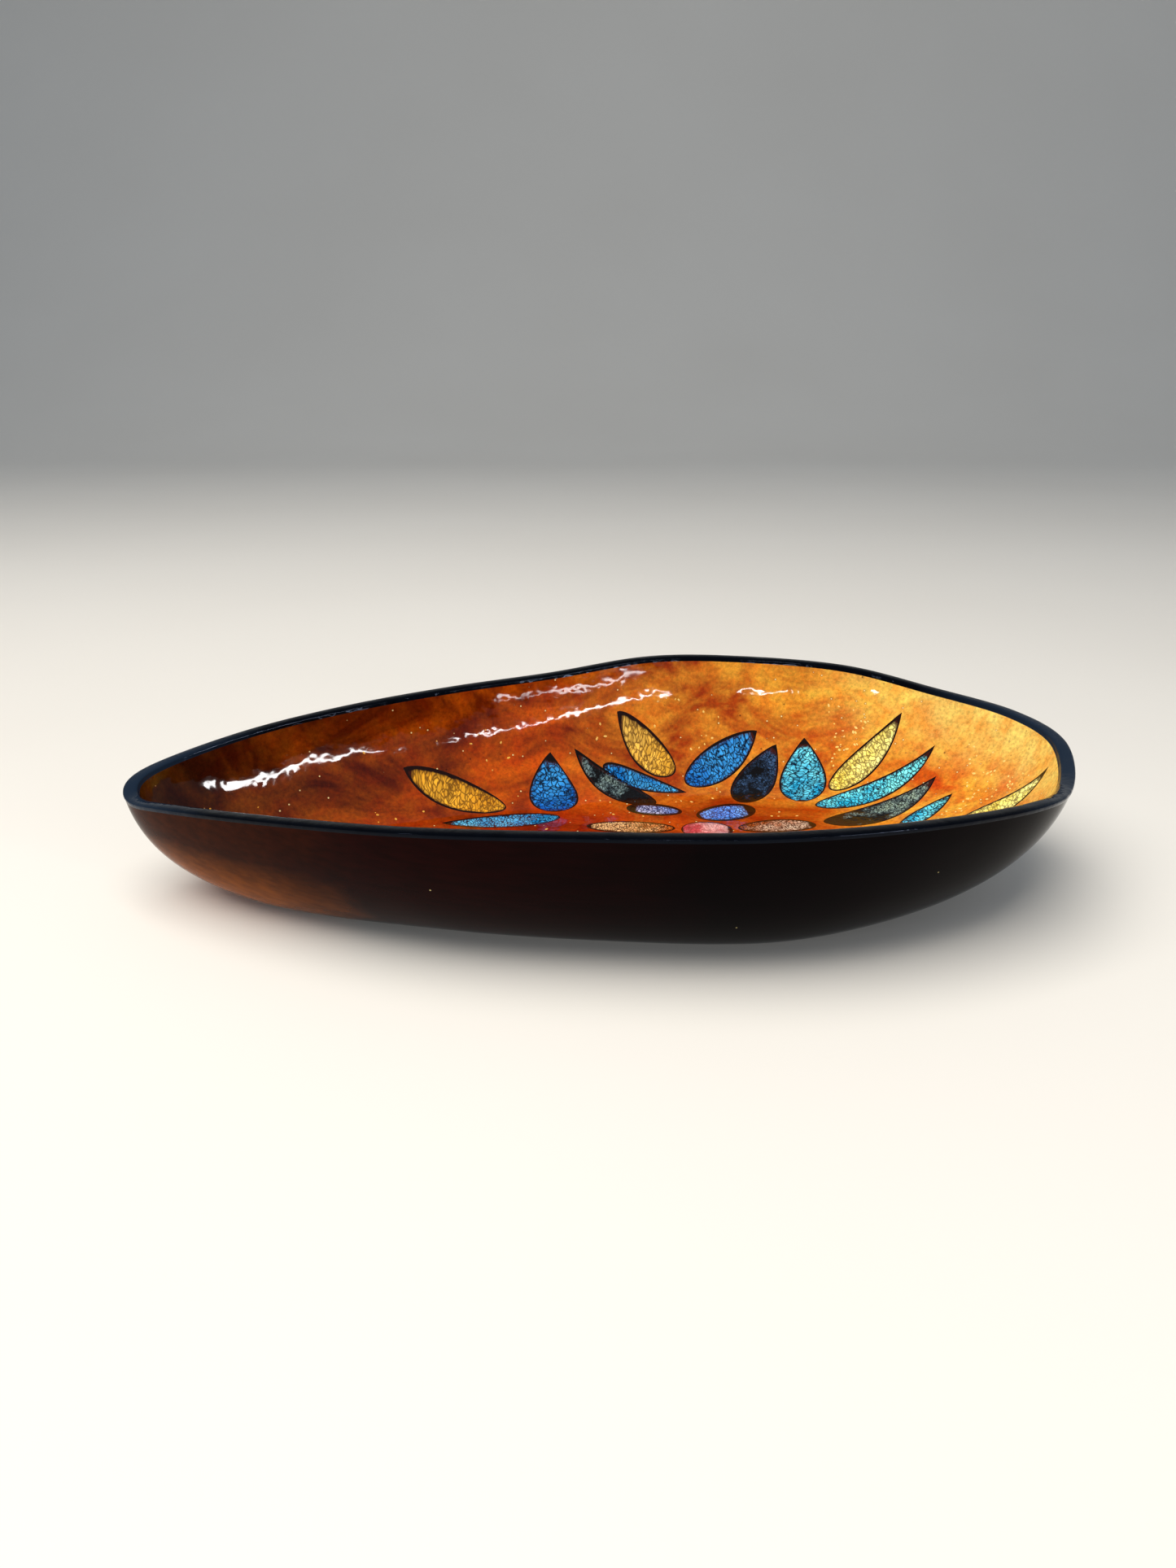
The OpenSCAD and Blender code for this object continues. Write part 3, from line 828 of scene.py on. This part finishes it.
class BOWL_OT_lip(bpy.types.Operator):
    """Makes the rounded black lip that caps both layers"""

    bl_idname = "glass_bowl.lip"
    bl_label = "Lip wrap"

    round_height = 1.0
    flatness = 0.75
    arc_steps = 14

    def section(self, faces, i, lip_height):
        """The lip's section over rim sample i, from its outer edge over the top to the seat."""
        outside, middle, inside = faces
        out, inner = outside.rim[i], inside.rim[i]
        centre, side = (out + inner) / 2, (out - inner) / 2
        points = []
        for k in range(self.arc_steps + 1):
            angle = math.pi * k / self.arc_steps
            across = math.copysign(abs(math.cos(angle)) ** self.flatness, math.cos(angle))
            drop = self.round_height * (max(math.sin(angle), 0) ** self.flatness - 1)
            points.append(centre + side * across + Vector((0, 0, drop)))
        for face in (inside, middle, outside):
            points.append(face.wall(i, face.seat(i, lip_height)))
        return points

    def execute(self, context):
        shape, looks = context.scene.glass_bowl_shape, context.scene.glass_bowl_looks
        faces = (outer_face(), middle_face(shape), inner_face(shape))
        sections = [self.section(faces, i, shape.lip_height / MM) for i in range(COUNT)]
        rings = [list(places) for places in zip(*sections)]
        bm = bmesh.new()
        ring = first_ring(bm, rings[0])
        for places in rings[1:] + rings[:1]:
            ring = extrude_ring(bm, ring, places)
        bmesh.ops.remove_doubles(bm, verts=bm.verts, dist=1e-7)
        lip = finish_piece(bm, "lip_glass", lip_glass(looks))
        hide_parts("lip_wrap")
        return {"FINISHED"}


def bulge(t, powers):
    return t ** powers[0] * (1 - t) ** powers[1]


def leaf_piece(node, leaf, powers, face, material, number, tint):
    """A thin leaf of glass that follows the lining's face, with its pattern coordinates in metres."""
    steps, columns, lift, depth = 44, 12, 0.05, 0.8
    start, end = Vector(leaf[0]), Vector(leaf[1])
    along = (end - start).normalized()
    left = Vector((-along.y, along.x))
    length = (end - start).length
    widest = powers[0] / (powers[0] + powers[1])
    bm = bmesh.new()
    uv_layer = bm.loops.layers.uv.new("leaf")
    layers = {key: bm.verts.layers.float.new(key) for key in ("edge", "share", "seed", "tint")}
    bmesh.ops.create_grid(bm, x_segments=steps, y_segments=columns, size=1)
    patterns, normals = {}, {}
    for vert in bm.verts:
        t = (1 - math.cos(math.pi * (vert.co.x + 1) / 2)) / 2
        side = vert.co.y
        width = max(0.15, leaf[2] * bulge(t, powers) / bulge(widest, powers))
        plan = start + (end - start) * t + left * (leaf[3] * 4 * t * (1 - t) + side * width)
        vert[layers["edge"]] = min((1 - abs(side)) * width, t * length, (1 - t) * length * 0.4) * MM
        vert[layers["share"]] = t
        vert[layers["seed"]] = number * 0.137
        vert[layers["tint"]] = tint
        patterns[vert] = (t * length * MM, side * width * MM)
        place, normals[vert] = face.point(plan.x, plan.y, lift)
        vert.co = place * MM
    for cell in bm.faces:
        for loop in cell.loops:
            loop[uv_layer].uv = patterns[loop.vert]
    bottom = list(bm.verts)
    bmesh.ops.extrude_face_region(bm, geom=bm.faces[:])
    bmesh.ops.recalc_face_normals(bm, faces=bm.faces)
    for vert in bottom:
        vert.co -= normals[vert] * depth * MM
    piece = finish_piece(bm, node + "_glass", material)
    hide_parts(node)
    return piece


class BOWL_OT_leaves(bpy.types.Operator):
    """Lays the ring of yellow, blue and dark leaves into the lining"""

    bl_idname = "glass_bowl.leaves"
    bl_label = "Leaves"

    def execute(self, context):
        looks = context.scene.glass_bowl_looks
        face = inner_face(context.scene.glass_bowl_shape)
        yellow = leaf_glass(
            "yellow_crackle_glass_cased", looks, ("#EDAE30", "#D08A18"), ("#FFFFA0", "#FFE860"), "#4A2408",
            "#1C0804", crackle=0.8, bare_from=0.92
        )
        blue = leaf_glass(
            "blue_crackle_glass_cased", looks, ("#1E86E0", "#063CA8"), ("#84F8FF", "#1CB0DC"), "#04142C",
            "#140806", bare_from=0.90
        )
        # The dark leaves are black-navy glass with a black root; their lighter navy and grey tips are partly
        # painted reflection of a pale veil on the glossy face.
        dark = leaf_glass(
            "navy_glass_cased", looks, ("#14386A", "#060A18"), ("#8AA090", "#34587E"), "#04060C",
            "#0C0404", cell=1.2 * MM, bare_from=0.90, root="#080403"
        )
        sets = (
            ("yellow_leaf_", YELLOW_LEAVES, yellow, "yellow_glass", (1.0, 0.85, 0.2, 0.0, 0.5, 0.7)),
            (
                "blue_leaf_", BLUE_LEAVES, blue, "blue_glass",
                (0.9, 1.0, 0.75, 0.15, 0.25, 0.12, 0.4, 0.2, 0.8, 0.3, 0.6, 0.1)
            ),
            ("dark_leaf_", DARK_LEAVES, dark, "navy_glass", (1.0, 0.1, 0.7, 0.5, 0.2, 0.8)),
        )
        number = 0
        for name, leaves, material, slot, tints in sets:
            for i, leaf in enumerate(leaves):
                number += 1
                leaf_piece(f"{name}{i + 1}", leaf, LEAF_POWERS, face, material, number, tints[i])
        return {"FINISHED"}


class BOWL_OT_rosette(bpy.types.Operator):
    """Lays the rosette's heart, petals and chips into the lining"""

    bl_idname = "glass_bowl.rosette"
    bl_label = "Rosette"

    def execute(self, context):
        looks = context.scene.glass_bowl_looks
        face = inner_face(context.scene.glass_bowl_shape)
        pink = leaf_glass(
            "pink_mottled_glass_cased", looks, ("#F4C0C0", "#B8404E"), ("#F4C0C0", "#B8404E"), "#7A1828",
            "#200604", crackle=0.5, bare_from=2
        )
        peach = leaf_glass(
            "peach_mottled_glass_cased", looks, ("#F4C88C", "#C05C18"), ("#E0C8B0", "#9A4A20"), "#2C0C06",
            "#1C0604", cell=1.3 * MM, bare_from=2, rim=0.4 * MM
        )
        sky = leaf_glass(
            "light_blue_crackle_glass_cased", looks, ("#6CACFF", "#3A7CEC"), ("#B4B8E0", "#6A88C8"),
            "#12285A", "#1C0604", bare_from=2, rim=1.0 * MM
        )
        leaf_piece("rosette_heart", HEART, CHIP_POWERS, face, pink, 31, 0.0)
        for i, petal in enumerate(PETALS):
            leaf_piece(
                f"rosette_petal_{i + 1}", petal, CHIP_POWERS, face, peach, 32 + i, float(i)
            )
        for i, chip in enumerate(CHIPS):
            leaf_piece(
                f"rosette_chip_{i + 1}", chip, CHIP_POWERS, face, sky, 34 + i, float(i % 2)
            )
        return {"FINISHED"}


class BOWL_OT_seeds(bpy.types.Operator):
    """Scatters seed bubbles just under the lining's face, clear of the leaves"""

    bl_idname = "glass_bowl.seeds"
    bl_label = "Seed bubbles"

    def clear_of_leaves(self, spot):
        for leaf in YELLOW_LEAVES + BLUE_LEAVES + DARK_LEAVES + CHIPS + PETALS + (HEART,):
            start, end = Vector(leaf[0]), Vector(leaf[1])
            length = (end - start).length
            along = (end - start) / length
            t = min(max((spot - start).dot(along), 0), length)
            if (spot - start - along * t).length < leaf[2] + abs(leaf[3]) + 1:
                return False
        return True

    def execute(self, context):
        shape = context.scene.glass_bowl_shape
        face = inner_face(shape)
        chance = random.Random(7)
        bm = bmesh.new()
        placed = 0
        while placed < shape.seed_count:
            spot = Vector((chance.uniform(-148, 148), chance.uniform(-78, 78)))
            climb = face.climb(*spot)
            # More seeds gather at the blunt end, where the gather was thickest, and up the wall.
            if climb > 0.94 or chance.random() > 0.03 + (0.3 + 0.6 * climb) * (
                (spot.x + 148) / 296
            ) ** 1.5 or not self.clear_of_leaves(spot):
                continue
            size = chance.uniform(0.28, 0.6)
            place, normal = face.point(spot.x, spot.y, -0.3 * size)
            turned = normal.to_track_quat("Z", "Y").to_matrix().to_4x4()
            shape_matrix = Matrix.Translation(place * MM) @ turned @ Matrix.Rotation(
                chance.uniform(0, math.tau), 4, "Z"
            )
            stretch = Matrix.Diagonal((size * chance.uniform(1, 2) * MM, size * MM, 0.6 * size * MM, 1))
            bmesh.ops.create_icosphere(bm, subdivisions=1, radius=1, matrix=shape_matrix @ stretch)
            placed += 1
        finish_piece(bm, "seed_bubbles", seed_glass(context.scene.glass_bowl_looks))
        return {"FINISHED"}


# ---------------------------------------------------------------- stage

# The camera stands in front of the bowl, a little to the left of its middle: metres in the model's frame.
CAMERA_PLACE = (-0.006, -0.362, 0.1635)
FOCAL_SHARE = 1448 / 1445   # focal length over the picture's width
# The windows: name, degrees right of the front, degrees up, width and height in metres, share of the power.
STAGE_WINDOWS = (
    ("window_right", 43, 10, (0.34, 0.036), 0.7),
    ("window_pane", 49, 12, (0.11, 0.07), 0.4),
    ("window_far", 31.5, 11, (0.13, 0.012), 0.12),
    ("window_sill", 43, 1, (0.46, 0.022), 0.35),
    ("window_front", 1, 17, (0.28, 0.022), 0.4),
    ("window_left", -40, 17, (0.08, 0.030), 0.12),
)


class BOWL_OT_stage(bpy.types.Operator):
    """Sets the camera, the pale floor and the soft window light"""

    bl_idname = "glass_bowl.stage"
    bl_label = "Studio"

    def area(self, name, place, target, size, power, tint):
        data = bpy.data.lights.new(name, "AREA")
        data.shape = "RECTANGLE"
        data.size, data.size_y = size
        data.energy = power
        data.color = colour(tint)[:3]
        lamp = bpy.data.objects.new(name, data)
        lamp.location = place
        lamp.rotation_euler = (Vector(target) - Vector(place)).to_track_quat("-Z", "Y").to_euler()
        bpy.context.scene.collection.objects.link(lamp)
        return lamp

    def execute(self, context):
        scene = context.scene
        stage = scene.glass_bowl_stage
        data = bpy.data.cameras.new("camera")
        data.sensor_fit = "HORIZONTAL"
        data.sensor_width = 36
        data.lens = 36 * FOCAL_SHARE
        data.clip_start = 0.01
        camera = bpy.data.objects.new("camera", data)
        camera.location = CAMERA_PLACE
        camera.rotation_euler = (math.pi / 2 - stage.camera_pitch, 0, 0)
        scene.collection.objects.link(camera)
        scene.camera = camera

        # A floor that bends up into a backdrop, so that no horizon shows.
        bm = bmesh.new()
        ends = [bm.verts.new((side, 1.6, 0)) for side in (-5, 5)]
        edge = bm.edges.new(ends)
        front = bmesh.ops.extrude_edge_only(bm, edges=[edge])["geom"]
        bmesh.ops.translate(
            bm, vec=(0, -6, 0), verts=[item for item in front if isinstance(item, bmesh.types.BMVert)]
        )
        bent = bmesh.ops.spin(
            bm, geom=[edge, *ends], axis=(1, 0, 0), cent=(0, 1.6, 1.2), angle=math.pi / 2, steps=24
        )["geom_last"]
        rising = bmesh.ops.extrude_edge_only(
            bm, edges=[item for item in bent if isinstance(item, bmesh.types.BMEdge)]
        )["geom"]
        bmesh.ops.translate(
            bm, vec=(0, 0, 2.5), verts=[item for item in rising if isinstance(item, bmesh.types.BMVert)]
        )
        bmesh.ops.recalc_face_normals(bm, faces=bm.faces)
        mesh = bpy.data.meshes.new("studio_floor")
        bm.to_mesh(mesh)
        bm.free()
        mesh.polygons.foreach_set("use_smooth", [True] * len(mesh.polygons))
        floor = bpy.data.objects.new("studio_floor", mesh)
        scene.collection.objects.link(floor)
        material, tree = new_material("matt_painted_studio_floor")
        place = add(tree, "ShaderNodeTexCoord").outputs["Object"]
        mottle = add(tree, "ShaderNodeTexNoise", None, {"Vector": place, "Scale": 1 / 0.4})
        tone = add(tree, "ShaderNodeMix", MIX, {
            0: mottle.outputs["Fac"], 6: stage.floor_colour, 7: stage.floor_shade
        }).outputs[2]
        shader = add(tree, "ShaderNodeBsdfPrincipled", None, {"Base Color": tone, "Roughness": 0.7})
        add(tree, "ShaderNodeOutputMaterial", None, {"Surface": shader.outputs[0]})
        mesh.materials.append(material)

        world = bpy.data.worlds.new("studio")
        world.use_nodes = True
        world.node_tree.nodes.clear()
        glow = add(world.node_tree, "ShaderNodeBackground", None, {
            "Color": colour("#D8E4F2"), "Strength": 0.28
        })
        add(world.node_tree, "ShaderNodeOutputWorld", None, {"Surface": glow.outputs[0]})
        scene.world = world

        # A soft overhead light gives the even light, and low windows give the streaks that the glass mirrors.
        middle = (0, 0, 0.03)
        soft = self.area(
            "soft_light", (-0.35, -0.30, 1.15), middle, (1.3, 1.3), stage.soft_power, "#FFF8EE"
        )
        soft.visible_glossy = False
        for name, azimuth, elevation, size, power in STAGE_WINDOWS:
            turn_right, rise_up = math.radians(azimuth), math.radians(elevation)
            ahead = Vector(
                (
                    math.sin(turn_right) * math.cos(rise_up), -math.cos(turn_right) * math.cos(rise_up),
                    math.sin(rise_up)
                )
            )
            self.area(
                name, Vector(middle) + 1.2 * ahead, middle, size, power * stage.window_power, "#FFFFFF"
            )
        scene.view_settings.view_transform = "Standard"
        return {"FINISHED"}


class BOWL_PT_panel(bpy.types.Panel):
    """Lists the bowl's settings and steps"""

    bl_idname = "BOWL_PT_panel"
    bl_label = "Inlaid Art Glass Bowl"
    bl_space_type = "VIEW_3D"
    bl_region_type = "UI"
    bl_category = "Glass Bowl"

    def draw(self, context):
        for name in GROUP_NAMES:
            box = self.layout.box()
            group = getattr(context.scene, name)
            for key in group.__annotations__:
                box.prop(group, key)
        for operator in OPERATORS:
            self.layout.operator(operator.bl_idname)


OPERATORS = (BOWL_OT_layers, BOWL_OT_lip, BOWL_OT_leaves, BOWL_OT_rosette, BOWL_OT_seeds, BOWL_OT_stage)
GROUP_NAMES = ("glass_bowl_shape", "glass_bowl_looks", "glass_bowl_stage")


def register():
    for cls in GROUPS + OPERATORS + (BOWL_PT_panel,):
        bpy.utils.register_class(cls)
    for name, group in zip(GROUP_NAMES, GROUPS):
        setattr(bpy.types.Scene, name, bpy.props.PointerProperty(type=group))


def unregister():
    for name in GROUP_NAMES:
        delattr(bpy.types.Scene, name)
    for cls in reversed(GROUPS + OPERATORS + (BOWL_PT_panel,)):
        bpy.utils.unregister_class(cls)


def main():
    register()
    bpy.ops.glass_bowl.stage()
    bpy.ops.glass_bowl.layers()
    bpy.ops.glass_bowl.lip()
    bpy.ops.glass_bowl.leaves()
    bpy.ops.glass_bowl.rosette()
    bpy.ops.glass_bowl.seeds()


if __name__ == "__main__":
    main()
